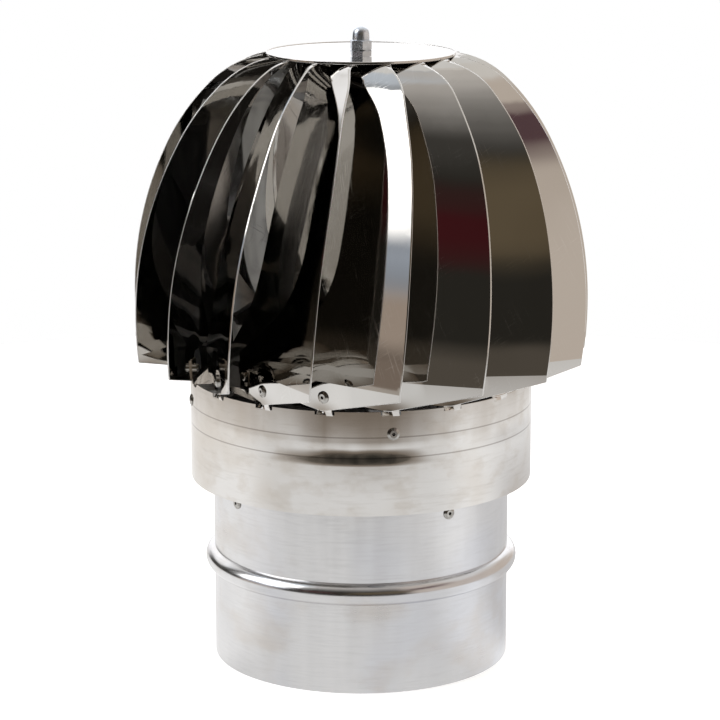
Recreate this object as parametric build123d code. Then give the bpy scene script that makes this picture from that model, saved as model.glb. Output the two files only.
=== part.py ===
"""Roof turbine ventilator for a round flue or duct of nominal 200 mm.

A bladed head turns on two ball bearings inside a fixed spigot pipe. The head is a collar with
riveted tongues, seventeen curved vanes, a top disc and a spindle, tied together by a four-arm spider.
The pipe carries a four-arm bracket and the bearing housing.

Millimetres, +Z up. The origin is the centre of the spigot's lower rim, on the axis of rotation.
Angles about the axis are counted from the front, which is -Y, towards +X.
"""

import os
from math import asin, atan2, cos, degrees, radians, sin, sqrt, tan

from build123d import *

# Sheet metal
SHEET = 0.6                 # wall of the pipe, the collar and the vanes
BEND_INSIDE = 2.0           # inside radius of the folded brackets
TOUCH = 0.3                 # air between a cut edge and the sheet beside it

# Spigot pipe
PIPE_OUTSIDE = 198.0
PIPE_HEIGHT = 165.0
SPIGOT_LENGTH = 59.5        # plain length that goes into the flue, below the bead
BEAD_HEIGHT = 15.0
BEAD_PROUD = 6.0

# Collar of the turning head
COLLAR_OUTSIDE = 228.2
COLLAR_LOW = 123.7
COLLAR_HEIGHT = 68.0

# Vanes
VANE_COUNT = 17
FIRST_TIP_ANGLE = 8.2       # the vane whose tip is nearest the front
TIP_INSET = 2.0             # a vane's lowest corner, the tip, inboard of the widest level
TIP_RISE = 14.8             # tip above the collar's rim
TIP_LEAN = 45.8             # angle between a vane's square-on direction and its outer edge, at the tip
TOP_LEAN = 54.1             # the same where the vane meets the disc
HEEL_TILT = 3.0             # the strip below the fold leans in by this angle
FOLD_RISE = 19.3            # fold above the collar's rim
BOTTOM_RISE = 0.5           # lower edge of a vane above the collar's rim, inboard of the rivet
PETAL_TURN = 80.0           # vane tops are cut square to their own sector where the outline leans more
PETAL_ROOT = 26.0           # inner end of a vane top under the disc, from the axis
INNER_EDGE = (              # inner edge of a vane: shares of the widest radius and of the crown's rise
    (0.013, 0.106),
    (0.100, 0.179),
    (0.207, 0.279),
    (0.253, 0.357),
    (0.278, 0.527),
    (0.266, 0.705),
    (0.243, 0.842),
    (0.197, 0.917),
    (0.140, 0.959),
    (0.112, 0.990),
)

# Outline that the outer edges of the vanes follow, as arcs that leave the widest level
WIDEST_OVERHANG = 38.3      # beyond the collar's wall
WIDEST_RISE = 48.3          # widest level above the collar's rim
FLANK_RADIUS = 240.0
FLANK_TURN = 26.5
SHOULDER_RADIUS = 148.0
SHOULDER_TURN = 19.5
CROWN_ARC = 60.2            # radius of the last arc, which ends level at the flat vane tops

# Top disc
DISC_RADIUS = 62.0
DISC_THICK = 1.0
DISC_PAD_RADIUS = 14.0      # raised flat pad that the dome nut sits on
DISC_PAD_RISE = 1.5
DISC_FLAT_INSIDE = 30.0     # the flat band reaches in to here

# Blind rivets
RIVET_SHANK = 4.0
RIVET_HEAD = 8.0
RIVET_HEAD_HEIGHT = 1.3
RIVET_BLIND = 5.6
RIVET_BLIND_LENGTH = 3.2
RIVET_BORE = 2.2
RIVET_BORE_DEPTH = 2.4
RIVET_FIT = 0.05            # radial clearance of a shank in its hole
VANE_RIVET_RISE = 9.3       # above the collar's rim
TONGUE_WIDTH = 11.0
TONGUE_RISE = 15.0
NOTCH_WIDTH = 0.9
NOTCH_DEPTH = 2.2

# Four-arm bracket in the pipe and four-arm spider in the collar
ARM_COUNT = 4
ARM_WIDTH = 20.0
ARM_THICK = 2.0
BRACKET_ANGLE = 35.0
BRACKET_RIVET_Z = 116.5
BRACKET_TAB = 20.0
BRACKET_HUB_RADIUS = 31.0
SPIDER_ANGLE = 10.3
SPIDER_RIVET_BELOW_RIM = 14.4
SPIDER_TAB = 16.0
SPIDER_HUB_RADIUS = 16.0

# Deep-groove ball bearings, 12 x 32 x 10
BEARING_BORE = 12.0
BEARING_OUTSIDE = 32.0
BEARING_WIDTH = 10.0
BALL_COUNT = 7
BALL_DIAMETER = 5.7
RACE_CLEARANCE = 0.12       # ball to groove
INNER_SHOULDER = 18.2       # outside of the inner ring
OUTER_SHOULDER = 26.0       # inside of the outer ring
CAGE_INSIDE = 20.2
CAGE_OUTSIDE = 23.8
CAGE_WIDTH = 7.4
POCKET_CLEARANCE = 0.08
SEAL_THICK = 0.5
SEAL_INSET = 0.3

# Bearing housing
HOUSING_WALL = 4.0
HOUSING_FLANGE_RADIUS = 30.0
HOUSING_FLANGE_THICK = 4.0
HOUSING_LIP = 3.0
HOUSING_LIP_BORE = 26.0
HOUSING_MOUTH = 3.5         # wall above the upper bearing
BEARING_SPACING = 13.5      # between the two bearings' faces
CIRCLIP_THICK = 1.2
SEAT_FIT = 0.02             # radial clearance of a ring on its seat
SCREW_CIRCLE = 50.0
SCREW_SHANK = 5.0
SCREW_HEAD_FLATS = 8.0
SCREW_HEAD_HEIGHT = 3.5
SCREW_NUT_HEIGHT = 4.0
SCREW_HOLE_FIT = 0.25

# Spindle and what is clamped on it
SPINDLE_END = 4.0           # below the lower circlip
CLAMP_NUT_FLATS = 18.0
CLAMP_NUT_HEIGHT = 6.0
SLEEVE_OUTSIDE = 16.0
DUST_CAP_SHEET = 1.0
DUST_CAP_GAP = 1.5          # radial running gap round the housing
DUST_CAP_COVER = 6.0        # overlap down the housing
STUD_DIAMETER = 8.0
STUD_FIT = 0.05
BACKING_RADIUS = 20.0
BACKING_THICK = 2.0
DOME_NUT_FLATS = 13.0
DOME_NUT_HEIGHT = 15.0
DOME_NUT_HEX = 6.5
DOME_NUT_DOME = 11.4
DOME_NUT_FULLNESS = 0.78    # share of its side and of its top that the dome keeps before it turns
DOME_NUT_TURN = 8.4         # where a corner of the tightened nut points
DOME_NUT_STUD = 10.0        # stud inside the nut

# Worked out once from the sizes above
PIPE_RADIUS = PIPE_OUTSIDE / 2
PIPE_INSIDE = PIPE_RADIUS - SHEET
COLLAR_RADIUS = COLLAR_OUTSIDE / 2
COLLAR_INSIDE = COLLAR_RADIUS - SHEET
RIM_Z = COLLAR_LOW + COLLAR_HEIGHT
TIP_Z = RIM_Z + TIP_RISE
FOLD_Z = RIM_Z + FOLD_RISE
WIDEST_Z = RIM_Z + WIDEST_RISE
WIDEST_RADIUS = COLLAR_RADIUS + WIDEST_OVERHANG
TIP_RADIUS = WIDEST_RADIUS - TIP_INSET
SHOULDER_END = FLANK_TURN + SHOULDER_TURN
FLANK_HEIGHT = FLANK_RADIUS * sin(radians(FLANK_TURN))
SHOULDER_HEIGHT = SHOULDER_RADIUS * (sin(radians(SHOULDER_END)) - sin(radians(FLANK_TURN)))
CROWN_Z = WIDEST_Z + FLANK_HEIGHT + SHOULDER_HEIGHT + CROWN_ARC * (1 - sin(radians(SHOULDER_END)))
PITCH = 360 / VANE_COUNT
BRACKET_TOP = BRACKET_RIVET_Z + BRACKET_TAB / 2
SPIDER_RIVET_Z = RIM_Z - SPIDER_RIVET_BELOW_RIM
SPIDER_TOP = SPIDER_RIVET_Z + SPIDER_TAB / 2
LOWER_BEARING_Z = BRACKET_TOP + HOUSING_LIP
UPPER_BEARING_Z = LOWER_BEARING_Z + BEARING_WIDTH + BEARING_SPACING
HOUSING_TOP = UPPER_BEARING_Z + BEARING_WIDTH + HOUSING_MOUTH
HOUSING_RADIUS = BEARING_OUTSIDE / 2 + HOUSING_WALL
SPINDLE_RADIUS = BEARING_BORE / 2 - SEAT_FIT
SPIDER_BORE = BEARING_BORE / 2 + STUD_FIT
LOWER_NUT_Z = SPIDER_TOP - ARM_THICK - CLAMP_NUT_HEIGHT
DUST_CAP_TOP = LOWER_NUT_Z
DISC_SEAT = CROWN_Z + SHEET / 2
PAD_UNDER = DISC_SEAT + DISC_PAD_RISE
PAD_TOP = PAD_UNDER + DISC_THICK
SHOULDER_Z = PAD_UNDER - BACKING_THICK
BALL_CIRCLE = (INNER_SHOULDER + OUTER_SHOULDER) / 4


def about_axis(shape, angle):
    """Turn a shape made along +X so that it points at an angle from the front."""
    return Rot(0, 0, angle - 90) * shape


def turned(points):
    """Solid of revolution from a closed outline of (radius, height) points."""
    return revolve(Plane.XZ * make_face(Polyline(*points, close=True)), Axis.Z)


def ring(inside, outside, low, high):
    """Plain ring between two radii and two heights."""
    return turned([(inside, low), (outside, low), (outside, high), (inside, high)])


def hexagon_prism(flats, low, height):
    """Hexagonal prism across flats, standing on a height."""
    blank = extrude(RegularPolygon(flats / 2, 6, major_radius=False), height)
    return Pos(0, 0, low) * blank


def chamfered_hexagon(flats, low, height, under=False):
    """Hexagonal prism with its corners turned off at the top, and underneath as well if asked."""
    corner = flats / sqrt(3)
    bevel = (corner - flats / 2) * tan(radians(30))
    foot = [(flats / 2, low), (corner, low + bevel)] if under else [(corner, low)]
    shape = turned([
        (0, low),
        *foot,
        (corner, low + height - bevel),
        (flats / 2, low + height),
        (0, low + height),
    ])
    return hexagon_prism(flats, low, height) & shape


# ---------------------------------------------------------------- spigot pipe


def pipe_wall(radius):
    """Side line of the pipe with its rolled bead, at one face of the sheet."""
    bead_low = SPIGOT_LENGTH
    bead_high = SPIGOT_LENGTH + BEAD_HEIGHT
    crest = (radius + BEAD_PROUD, (bead_low + bead_high) / 2)
    below = Line((radius, 0), (radius, bead_low))
    bead = ThreePointArc((radius, bead_low), crest, (radius, bead_high))
    above = Line((radius, bead_high), (radius, PIPE_HEIGHT))
    return [below, bead, above]


def base_pipe():
    """Thin pipe whose lower end is the spigot, with four rivet holes for the bracket."""
    outer = pipe_wall(PIPE_RADIUS)
    inner = pipe_wall(PIPE_INSIDE)
    bottom = Line((PIPE_INSIDE, 0), (PIPE_RADIUS, 0))
    top = Line((PIPE_INSIDE, PIPE_HEIGHT), (PIPE_RADIUS, PIPE_HEIGHT))
    wall = make_face(outer + inner + [bottom, top])
    pipe = revolve(Plane.XZ * wall, Axis.Z)
    return pipe - rivet_holes(PIPE_RADIUS, BRACKET_RIVET_Z, BRACKET_ANGLE)


# ---------------------------------------------------------------- rivets


def blind_rivet(grip):
    """Set blind rivet along +X: the head's underside is at the origin, the shank runs back."""
    head = RIVET_HEAD / 2
    shank = RIVET_SHANK / 2
    blind = RIVET_BLIND / 2
    bore = RIVET_BORE / 2
    outline = Polyline(
        (0, -grip - RIVET_BLIND_LENGTH),
        (blind * 0.7, -grip - RIVET_BLIND_LENGTH),
        (blind, -grip - RIVET_BLIND_LENGTH * 0.7),
        (blind, -grip),
        (shank, -grip),
        (shank, 0),
        (head, 0),
        (head, RIVET_HEAD_HEIGHT * 0.4),
        (head * 0.6, RIVET_HEAD_HEIGHT),
        (bore, RIVET_HEAD_HEIGHT),
        (bore, RIVET_HEAD_HEIGHT - RIVET_BORE_DEPTH),
        (0, RIVET_HEAD_HEIGHT - RIVET_BORE_DEPTH),
        close=True,
    )
    upright = revolve(Plane.XZ * make_face(outline), Axis.Z)
    return Rot(0, 90, 0) * upright


def rivet_hole():
    """Drill for one blind rivet, along +X through the origin."""
    drill = Cylinder(RIVET_SHANK / 2 + RIVET_FIT, 4 * RIVET_HEAD)
    return Rot(0, 90, 0) * drill


def arm_angles(first):
    """Angles of the four arms that start at one angle."""
    return [first + index * 360 / ARM_COUNT for index in range(ARM_COUNT)]


def rivet_holes(radius, height, first):
    """Drills for the four rivets of a bracket."""
    return [about_axis(Pos(radius, 0, height) * rivet_hole(), angle) for angle in arm_angles(first)]


def arm_rivets(radius, height, first):
    """Four set rivets that hold a bracket's tabs to a round sheet of this outside radius."""
    grip = radius - tab_reach(radius - SHEET) + ARM_THICK
    one = Pos(radius, 0, height) * blind_rivet(grip)
    return Compound([about_axis(one, angle) for angle in arm_angles(first)])


# ---------------------------------------------------------------- folded brackets


def tab_reach(wall_radius):
    """Distance from the axis to where a flat tab's long edges touch a round wall."""
    return sqrt(wall_radius**2 - (ARM_WIDTH / 2) ** 2)


def folded_arm(reach, top, tab):
    """One arm along +X, from the axis to a tab that is folded down against a round wall."""
    inside = BEND_INSIDE
    outside = BEND_INSIDE + ARM_THICK
    wall = reach - outside
    leg = reach - ARM_THICK
    face = reach + ARM_THICK
    outline = [
        Line((0, top), (wall, top)),
        CenterArc((wall, top - outside), outside, 0, 90),
        Line((reach, top - outside), (reach, top - tab)),
        Line((reach, top - tab), (leg, top - tab)),
        Line((leg, top - tab), (leg, top - outside)),
        CenterArc((wall, top - outside), inside, 0, 90),
        Line((wall, top - ARM_THICK), (0, top - ARM_THICK)),
        Line((0, top - ARM_THICK), (0, top)),
    ]
    strip = extrude(Plane.XZ * make_face(outline), ARM_WIDTH / 2, both=True)
    shim = Pos((leg + face) / 2, 0, top - outside - (tab - outside) / 2)
    backing = shim * Box(face - leg, ARM_WIDTH, tab - outside)
    return strip + backing


def folded_cross(wall_radius, top, tab, hub_radius, bore, first, rivet_z):
    """Four folded arms round a flat hub, with tabs that lie against the inside of a round wall."""
    arm = folded_arm(tab_reach(wall_radius), top, tab) & Cylinder(wall_radius, 4 * wall_radius)
    cross = ring(bore, hub_radius, top - ARM_THICK, top)
    for angle in arm_angles(first):
        cross += about_axis(arm, angle)
    cross -= Pos(0, 0, top) * Cylinder(bore, 4 * ARM_THICK)
    cross -= rivet_holes(wall_radius, rivet_z, first)
    return cross


def base_bracket():
    """Cross that carries the bearing housing in the pipe."""
    cross = folded_cross(
        PIPE_INSIDE, BRACKET_TOP, BRACKET_TAB, BRACKET_HUB_RADIUS, HOUSING_LIP_BORE / 2,
        BRACKET_ANGLE, BRACKET_RIVET_Z,
    )
    return cross - screw_holes()


def rotor_spider():
    """Cross that ties the collar to the spindle."""
    return folded_cross(
        COLLAR_INSIDE, SPIDER_TOP, SPIDER_TAB, SPIDER_HUB_RADIUS, SPIDER_BORE,
        SPIDER_ANGLE, SPIDER_RIVET_Z,
    )


# ---------------------------------------------------------------- bearing housing


def screw_places():
    """Where the housing's four screws stand, between the bracket's arms."""
    half_step = 180 / ARM_COUNT
    return [
        Rot(0, 0, angle + half_step - 90) * Pos(SCREW_CIRCLE / 2, 0, 0)
        for angle in arm_angles(BRACKET_ANGLE)
    ]


def screw_holes():
    """Drills for the housing's screws."""
    drill = Pos(0, 0, BRACKET_TOP) * Cylinder(SCREW_SHANK / 2 + SCREW_HOLE_FIT, 8 * ARM_THICK)
    return [place * drill for place in screw_places()]


def bearing_housing():
    """Flanged tube, bored from above for two bearings and their spacer."""
    seat = BEARING_OUTSIDE / 2
    groove_low = UPPER_BEARING_Z + BEARING_WIDTH
    groove_high = groove_low + CIRCLIP_THICK
    groove = seat + CIRCLIP_THICK
    flange_top = BRACKET_TOP + HOUSING_FLANGE_THICK
    housing = turned([
        (HOUSING_LIP_BORE / 2, BRACKET_TOP),
        (HOUSING_FLANGE_RADIUS, BRACKET_TOP),
        (HOUSING_FLANGE_RADIUS, flange_top),
        (HOUSING_RADIUS, flange_top),
        (HOUSING_RADIUS, HOUSING_TOP),
        (seat, HOUSING_TOP),
        (seat, groove_high),
        (groove, groove_high),
        (groove, groove_low),
        (seat, groove_low),
        (seat, LOWER_BEARING_Z),
        (HOUSING_LIP_BORE / 2, LOWER_BEARING_Z),
    ])
    return housing - screw_holes()


def housing_screws():
    """Four hexagon screws that hold the housing down on the bracket."""
    under_head = BRACKET_TOP + HOUSING_FLANGE_THICK
    length = HOUSING_FLANGE_THICK + ARM_THICK + SCREW_NUT_HEIGHT + SCREW_SHANK / 5
    head = chamfered_hexagon(SCREW_HEAD_FLATS, under_head, SCREW_HEAD_HEIGHT)
    shank = Pos(0, 0, under_head - length / 2) * Cylinder(SCREW_SHANK / 2, length)
    return Compound([place * (head + shank) for place in screw_places()])


def housing_nuts():
    """Four nuts under the bracket."""
    low = BRACKET_TOP - ARM_THICK - SCREW_NUT_HEIGHT
    blank = hexagon_prism(SCREW_HEAD_FLATS, low, SCREW_NUT_HEIGHT)
    bore = Pos(0, 0, low) * Cylinder(SCREW_SHANK / 2 + STUD_FIT, 4 * SCREW_NUT_HEIGHT)
    return Compound([place * (blank - bore) for place in screw_places()])


def circlip(seat, depth, low, outward):
    """Open retaining ring that stands in a groove: its gap is a sixth of a turn."""
    if outward:
        band = ring(seat - depth, seat + CIRCLIP_THICK, low, low + CIRCLIP_THICK)
    else:
        band = ring(seat, seat + depth, low, low + CIRCLIP_THICK)
    reach = seat + 4 * depth
    wedge = Polyline((0, 0), (reach, -reach / 2), (reach, reach / 2), close=True)
    gap = Pos(0, 0, low - depth) * extrude(make_face(wedge), CIRCLIP_THICK + 2 * depth)
    return band - gap


def housing_circlip():
    """Ring in the housing's groove, over the upper bearing."""
    groove = BEARING_OUTSIDE / 2 + CIRCLIP_THICK
    low = UPPER_BEARING_Z + BEARING_WIDTH
    return circlip(groove - 2 * CIRCLIP_THICK - SEAT_FIT, 2 * CIRCLIP_THICK, low, False)


def spindle_circlip():
    """Ring in the spindle's groove, under the lower bearing."""
    return circlip(SPINDLE_RADIUS + SEAT_FIT, CIRCLIP_THICK / 2, LOWER_BEARING_Z - CIRCLIP_THICK, True)


# ---------------------------------------------------------------- ball bearings


def race(low):
    """Torus that grinds both grooves of a bearing."""
    groove = BALL_DIAMETER / 2 + RACE_CLEARANCE
    return Pos(0, 0, low + BEARING_WIDTH / 2) * Torus(BALL_CIRCLE, groove)


def inner_ring(low):
    """Inner ring of a bearing that stands on a height."""
    blank = ring(BEARING_BORE / 2, INNER_SHOULDER / 2, low, low + BEARING_WIDTH)
    return blank - race(low)


def outer_ring(low):
    """Outer ring of a bearing, a sliding fit in the housing."""
    blank = ring(OUTER_SHOULDER / 2, BEARING_OUTSIDE / 2 - SEAT_FIT, low, low + BEARING_WIDTH)
    return blank - race(low)


def on_ball_circle(shape, low):
    """Copies of a shape at the balls' places."""
    middle = low + BEARING_WIDTH / 2
    step = 360 / BALL_COUNT
    return [Rot(0, 0, index * step) * Pos(BALL_CIRCLE, 0, middle) * shape for index in range(BALL_COUNT)]


def balls(low):
    """Balls of one bearing."""
    return Compound(on_ball_circle(Sphere(BALL_DIAMETER / 2), low))


def ball_cage(low):
    """Cage ring with a pocket for each ball."""
    middle = low + BEARING_WIDTH / 2
    half = CAGE_WIDTH / 2
    blank = ring(CAGE_INSIDE / 2, CAGE_OUTSIDE / 2, middle - half, middle + half)
    pocket = Rot(0, 90, 0) * Cylinder(BALL_DIAMETER / 2 + POCKET_CLEARANCE, BALL_DIAMETER)
    return blank - on_ball_circle(pocket, low)


def bearing_seals(low):
    """Two thin seals, one near each face of a bearing."""
    inside = INNER_SHOULDER / 2 + TOUCH
    outside = OUTER_SHOULDER / 2 - SEAT_FIT
    lower = low + SEAL_INSET
    upper = low + BEARING_WIDTH - SEAL_INSET - SEAL_THICK
    return Compound([ring(inside, outside, z, z + SEAL_THICK) for z in (lower, upper)])


def outer_spacer():
    """Tube that keeps the two outer rings apart."""
    high = BEARING_OUTSIDE / 2 - SEAT_FIT
    return ring(high - HOUSING_LIP, high, LOWER_BEARING_Z + BEARING_WIDTH, UPPER_BEARING_Z)


def inner_spacer():
    """Tube that keeps the two inner rings apart."""
    return ring(BEARING_BORE / 2, SLEEVE_OUTSIDE / 2, LOWER_BEARING_Z + BEARING_WIDTH, UPPER_BEARING_Z)


# ---------------------------------------------------------------- spindle


def spindle():
    """Turned shaft with a circlip groove below and a threaded stud above."""
    groove = CIRCLIP_THICK / 2
    groove_low = LOWER_BEARING_Z - CIRCLIP_THICK
    low = groove_low - SPINDLE_END
    stud = STUD_DIAMETER / 2
    bevel = stud / 4
    return turned([
        (0, low),
        (SPINDLE_RADIUS - bevel, low),
        (SPINDLE_RADIUS, low + bevel),
        (SPINDLE_RADIUS, groove_low),
        (SPINDLE_RADIUS - groove, groove_low),
        (SPINDLE_RADIUS - groove, LOWER_BEARING_Z),
        (SPINDLE_RADIUS, LOWER_BEARING_Z),
        (SPINDLE_RADIUS, SHOULDER_Z),
        (stud, SHOULDER_Z),
        (stud, PAD_TOP + DOME_NUT_STUD),
        (0, PAD_TOP + DOME_NUT_STUD),
    ])


def thrust_sleeve():
    """Tube between the upper inner ring and the dust cap."""
    low = UPPER_BEARING_Z + BEARING_WIDTH
    return ring(BEARING_BORE / 2, SLEEVE_OUTSIDE / 2, low, DUST_CAP_TOP - DUST_CAP_SHEET)


def dust_cap():
    """Cup that turns with the spindle and keeps rain out of the housing."""
    inside = HOUSING_RADIUS + DUST_CAP_GAP
    outside = inside + DUST_CAP_SHEET
    skirt = HOUSING_TOP - DUST_CAP_COVER
    under = DUST_CAP_TOP - DUST_CAP_SHEET
    return turned([
        (BEARING_BORE / 2, under),
        (inside, under),
        (inside, skirt),
        (outside, skirt),
        (outside, DUST_CAP_TOP),
        (BEARING_BORE / 2, DUST_CAP_TOP),
    ])


def clamp_nut(low):
    """Nut on the spindle, against the spider's hub."""
    blank = chamfered_hexagon(CLAMP_NUT_FLATS, low, CLAMP_NUT_HEIGHT)
    return blank - Pos(0, 0, low) * Cylinder(SPIDER_BORE, 4 * CLAMP_NUT_HEIGHT)


# ---------------------------------------------------------------- top disc and dome nut


def top_disc():
    """Pressed disc over the vane tops, with a raised pad for the nut."""
    stud = STUD_DIAMETER / 2 + STUD_FIT
    return turned([
        (DISC_FLAT_INSIDE, DISC_SEAT),
        (DISC_RADIUS, DISC_SEAT),
        (DISC_RADIUS, DISC_SEAT + DISC_THICK),
        (DISC_FLAT_INSIDE, DISC_SEAT + DISC_THICK),
        (DISC_PAD_RADIUS, PAD_TOP),
        (stud, PAD_TOP),
        (stud, PAD_UNDER),
        (DISC_PAD_RADIUS, PAD_UNDER),
    ])


def backing_washer():
    """Large washer between the spindle's shoulder and the disc."""
    stud = STUD_DIAMETER / 2 + STUD_FIT
    flat = DISC_PAD_RADIUS
    slope = DISC_PAD_RISE * (BACKING_RADIUS - flat) / (DISC_FLAT_INSIDE - flat)
    return turned([
        (stud, SHOULDER_Z),
        (BACKING_RADIUS, SHOULDER_Z),
        (BACKING_RADIUS, PAD_UNDER - slope),
        (flat, PAD_UNDER),
        (stud, PAD_UNDER),
    ])


def dome_nut():
    """Hexagon nut with a closed dome, bored for the stud."""
    dome = DOME_NUT_DOME / 2
    high = PAD_TOP + DOME_NUT_HEIGHT
    waist = PAD_TOP + DOME_NUT_HEX
    hexagon = chamfered_hexagon(DOME_NUT_FLATS, PAD_TOP, DOME_NUT_HEX, under=True)
    side = Line((dome, PAD_TOP), (dome, waist))
    shoulder = (dome, waist + DOME_NUT_FULLNESS * (high - waist))
    crown = Bezier((dome, waist), shoulder, (DOME_NUT_FULLNESS * dome, high), (0, high))
    closing = [Line((0, high), (0, PAD_TOP)), Line((0, PAD_TOP), (dome, PAD_TOP))]
    cap = revolve(Plane.XZ * make_face([side, crown] + closing), Axis.Z)
    bore = STUD_DIAMETER / 2 + STUD_FIT
    hole = ring(0, bore, PAD_TOP - DISC_THICK, waist + DOME_NUT_STUD - DOME_NUT_HEX + DISC_THICK / 2)
    return about_axis(hexagon, DOME_NUT_TURN) + cap - hole


# ---------------------------------------------------------------- vanes


def outline_arcs():
    """Arcs of the head's outline from the widest level up, as (radius, start turn, end turn, start)."""
    start = (WIDEST_RADIUS, WIDEST_Z)
    bend = along_arc(start, FLANK_RADIUS, 0, FLANK_TURN)
    shoulder = along_arc(bend, SHOULDER_RADIUS, FLANK_TURN, SHOULDER_END)
    return [
        (FLANK_RADIUS, 0, FLANK_TURN, start),
        (SHOULDER_RADIUS, FLANK_TURN, SHOULDER_END, bend),
        (CROWN_ARC, SHOULDER_END, 90, shoulder),
    ]


def along_arc(start, radius, turn_in, turn_out):
    """Point reached on an arc that leans from one angle off vertical to another."""
    inward = radius * (cos(radians(turn_in)) - cos(radians(turn_out)))
    upward = radius * (sin(radians(turn_out)) - sin(radians(turn_in)))
    return (start[0] - inward, start[1] + upward)


def outline_point(turn):
    """Point of the head's outline where it leans by an angle off vertical."""
    for radius, turn_in, turn_out, start in outline_arcs():
        if turn <= turn_out:
            return along_arc(start, radius, turn_in, turn)
    raise ValueError("the outline ends level")


def lean_at(height):
    """Lean of a vane's outer edge, which grows evenly from the tip to the crown."""
    share = (height - TIP_Z) / (CROWN_Z - TIP_Z)
    return TIP_LEAN + (TOP_LEAN - TIP_LEAN) * share


def sheet_distance(radius, height):
    """Distance of a vane's face from the axis, square on, where its outer edge has this radius."""
    return radius * cos(radians(lean_at(height)))


def vane_middle_line():
    """Middle line of a vane's sheet seen end-on, as (distance, height): fold, flank and flat top."""
    turns = (12, FLANK_TURN, SHOULDER_END, 60, 90)
    fold = (sheet_distance(WIDEST_RADIUS, WIDEST_Z), FOLD_Z)
    stations = [fold]
    for turn in turns:
        radius, height = outline_point(turn)
        stations.append((sheet_distance(radius, height), height))
    return Spline(*stations, tangents=[(0, 1), (-1, 0)])


def heel_foot(low):
    """Foot of the middle line at a height below the fold."""
    fold = vane_middle_line() @ 0
    return (fold.X - (FOLD_Z - low) * tan(radians(HEEL_TILT)), low)


def outer_envelope():
    """Solid of revolution that trims the vanes' outer edges."""
    drop = WIDEST_Z - TIP_Z
    skirt_radius = (drop**2 + TIP_INSET**2) / (2 * TIP_INSET)
    low_turn = degrees(asin((WIDEST_Z - RIM_Z) / skirt_radius))
    start = (WIDEST_RADIUS, WIDEST_Z)
    low = along_arc(start, skirt_radius, 0, -low_turn)
    edges = [ThreePointArc(low, along_arc(start, skirt_radius, 0, -low_turn / 2), start)]
    for radius, turn_in, turn_out, start in outline_arcs():
        stop = min(turn_out, PETAL_TURN)
        middle = along_arc(start, radius, turn_in, (turn_in + stop) / 2)
        end = along_arc(start, radius, turn_in, stop)
        edges.append(ThreePointArc(start, middle, end))
    above = CROWN_Z + 10 * SHEET
    petal = edges[-1] @ 1
    corners = [(petal.X, petal.Y), (petal.X, above), (0, above), (0, low[1]), low]
    edges += [Line(first, second) for first, second in zip(corners, corners[1:])]
    return revolve(Plane.XZ * make_face(edges), Axis.Z)


def vane_blank(low, width, offset=0.0):
    """Sheet with the vane's side line, extruded straight across, offset from the middle."""
    line = vane_middle_line()
    stations = [line.position_at(step / 12) for step in range(13)]
    tangents = [line.tangent_at(step / 12) for step in range(13)]

    def face_line(side):
        """Points of one face of the sheet, and its first and last direction."""
        return [
            (point.X + side * direction.Y, point.Y - side * direction.X)
            for point, direction in zip(stations, tangents)
        ]

    half = SHEET / 2
    edges = []
    ends = []
    foot = heel_foot(low)
    for side in (offset + half, offset - half):
        points = face_line(side)
        heel = (foot[0] + side / cos(radians(HEEL_TILT)), low)
        root = (PETAL_ROOT * cos(radians(TOP_LEAN)), CROWN_Z + side)
        edges.append(Line(heel, points[0]))
        edges.append(Spline(*points, tangents=[(0, 1), (-1, 0)]))
        edges.append(Line(points[-1], root))
        ends.append((heel, root))
    edges.append(Line(ends[0][0], ends[1][0]))
    edges.append(Line(ends[0][1], ends[1][1]))
    return extrude(Plane.XZ * make_face(edges), -width)


def side_cut(points, curved):
    """Cutter across the vane: an outline of (across, height) points carried through the sheet."""
    reach = 1.2 * WIDEST_RADIUS
    edges = []
    if curved:
        edges.append(Spline(*curved))
        points = [curved[-1]] + points + [curved[0]]
        edges += [Line(first, second) for first, second in zip(points, points[1:])]
        face = make_face(edges)
    else:
        face = make_face(Polyline(*points, close=True))
    return extrude(Plane.YZ * face, reach)


def tongue_distance(height):
    """Square-on distance of a tongue's middle, which lies flat on the vane's inner face."""
    return heel_foot(height)[0] - SHEET / cos(radians(HEEL_TILT))


def rivet_across():
    """Where a vane's rivet is, across the face: there the tongue's sheet crosses the collar's."""
    distance = tongue_distance(RIM_Z + VANE_RIVET_RISE)
    middle = COLLAR_RADIUS - SHEET / 2
    return sqrt(middle**2 - distance**2)


def vane_rivet_place():
    """Place of a vane's rivet, with +X square to the heel strip."""
    height = RIM_Z + VANE_RIVET_RISE
    distance = heel_foot(height)[0]
    return Pos(distance, rivet_across(), height) * Rot(0, HEEL_TILT, 0)


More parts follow.
